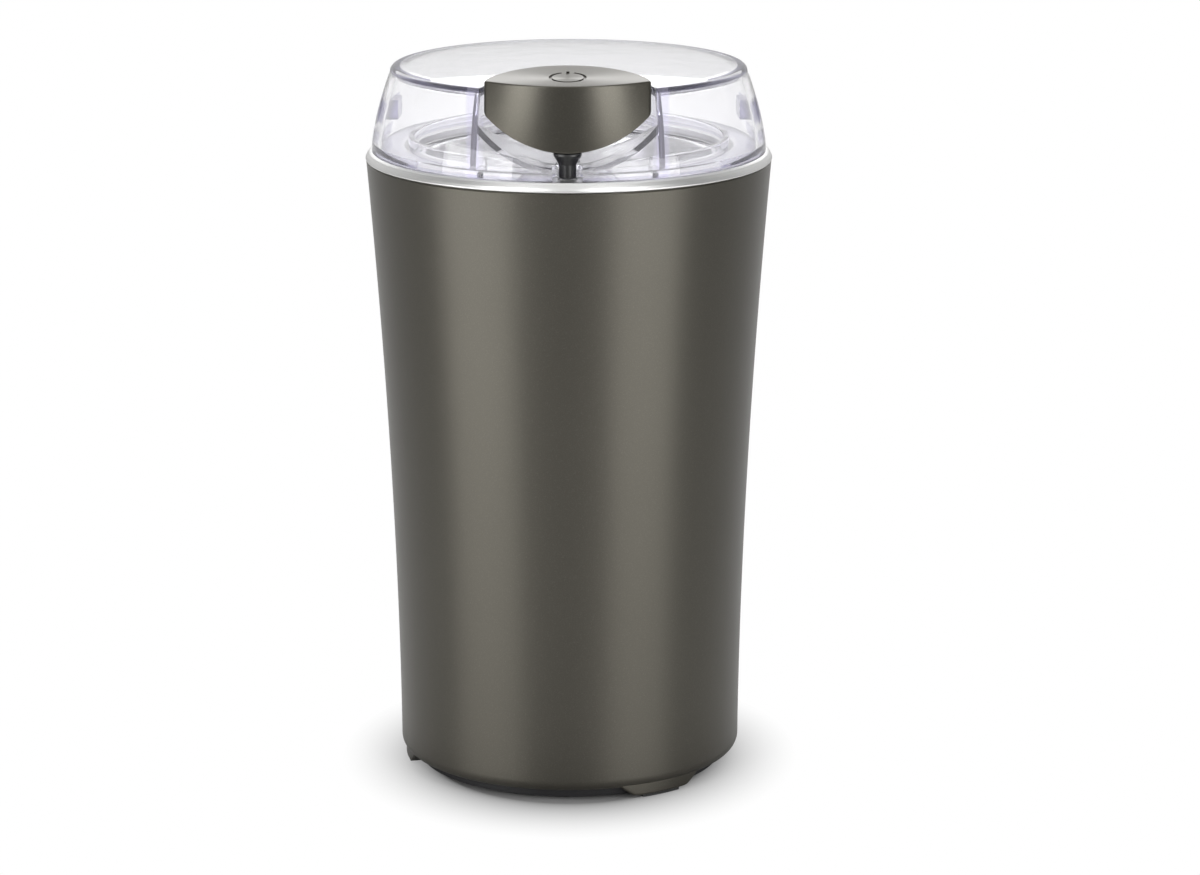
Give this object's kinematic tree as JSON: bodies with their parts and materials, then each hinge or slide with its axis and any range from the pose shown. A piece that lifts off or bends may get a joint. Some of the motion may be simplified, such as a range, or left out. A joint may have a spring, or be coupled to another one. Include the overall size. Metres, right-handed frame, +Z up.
{
  "type": "electric spice grinder",
  "caption": "Upright electric spice and coffee grinder: tapered housing, steel bowl with spinning blade, clear lift-off lid with a press button in its front.",
  "frame": {"origin": "centre of the base, on the surface it stands on", "axes": "+Z up along the shaft, -Y towards the button at the front, +X to the right seen from the front"},
  "size_m": [0.098, 0.098, 0.1762],
  "materials": {
    "body_paint": "satin metallic grey paint",
    "button_paint": "satin metallic grey paint",
    "rubber": "matt",
    "black_plastic": "moulded, fine texture",
    "dark_plastic": "moulded, fine texture",
    "white_plastic": "moulded, satin",
    "red_plastic": "moulded, glossy",
    "clear_plastic": "clear polished plastic",
    "ring_steel": "brushed along the rim",
    "bowl_steel": "deep drawn, satin",
    "blade_steel": "ground",
    "screw_steel": "zinc plated",
    "spring_steel": "drawn wire, bright",
    "lamination": "stacked sheets",
    "copper": "enamelled winding",
    "bronze": "sintered",
    "cast_aluminium": "die cast",
    "carbon": "pressed carbon",
    "capacitor_case": "moulded case"
  },
  "bodies": {
    "housing": {"outer_shell": "body_paint", "foot_pads": "rubber", "base_plate": "black_plastic", "base_screws": "screw_steel", "cord_gland": "rubber", "capacitor": "capacitor_case", "top_ring": "ring_steel", "bowl": "bowl_steel", "rim_gasket": "rubber", "bowl_carrier": "dark_plastic", "shaft_seal": "rubber", "upper_bearing": "bronze", "lower_bearing": "bronze", "stator_core": "lamination", "field_coils": "copper", "upper_bracket": "cast_aluminium", "lower_bracket": "cast_aluminium", "motor_bolts": "screw_steel", "rubber_mounts": "rubber", "mount_screws": "screw_steel", "brush_holders": "bronze", "carbon_brushes": "carbon", "brush_springs": "spring_steel", "switch_body": "black_plastic", "switch_bracket": "screw_steel", "switch_screws": "screw_steel", "bracket_screw": "screw_steel", "rod_spring": "spring_steel"},
    "rotor": {"blade_collar": "bowl_steel", "blade": "blade_steel", "blade_nut": "blade_steel", "motor_shaft": "screw_steel", "armature_core": "lamination", "armature_windings": "copper", "commutator": "copper", "cooling_fan": "white_plastic"},
    "lid": {"lid_cover": "clear_plastic", "button_spring": "spring_steel"},
    "button": {"power_button": "button_paint", "button_plunger": "black_plastic"},
    "rod": {"switch_rod": "white_plastic"},
    "lever": {"switch_lever": "spring_steel"},
    "pin": {"switch_pin": "red_plastic"}
  },
  "joints": [
    {"name": "lid_lift", "type": "slide", "parent": "housing", "child": "lid", "axis": [0, 0, 1], "range_m": [0, 0.04]},
    {"name": "button_press", "type": "slide", "parent": "lid", "child": "button", "axis": [0, 0, -1], "range_m": [0, 0.0032], "stiffness_N_per_m": 500, "springref_m": -0.004, "deforming": ["button_spring"]},
    {"name": "rotor_spin", "type": "hinge", "parent": "housing", "child": "rotor", "pos_m": [0, 0, 0.1], "axis": [0, 0, 1], "continuous": true},
    {"name": "rod_slide", "type": "slide", "parent": "housing", "child": "rod", "axis": [0, 0, -1], "range_m": [0, 0.0032], "deforming": ["rod_spring"]},
    {"name": "lever_tilt", "type": "hinge", "parent": "housing", "child": "lever", "pos_m": [-0.011, -0.03245, 0.0881], "axis": [0, 1, 0], "range_deg": [0, 10.21]},
    {"name": "pin_press", "type": "slide", "parent": "housing", "child": "pin", "axis": [0, 0, -1], "range_m": [0, 0.00107]}
  ],
  "couplings": [
    {"joint": "rod_slide", "follows": "button_press", "ratio": 1},
    {"joint": "lever_tilt", "follows": "button_press", "rad_per_m": 55.429},
    {"joint": "pin_press", "follows": "button_press", "ratio": 0.33}
  ]
}
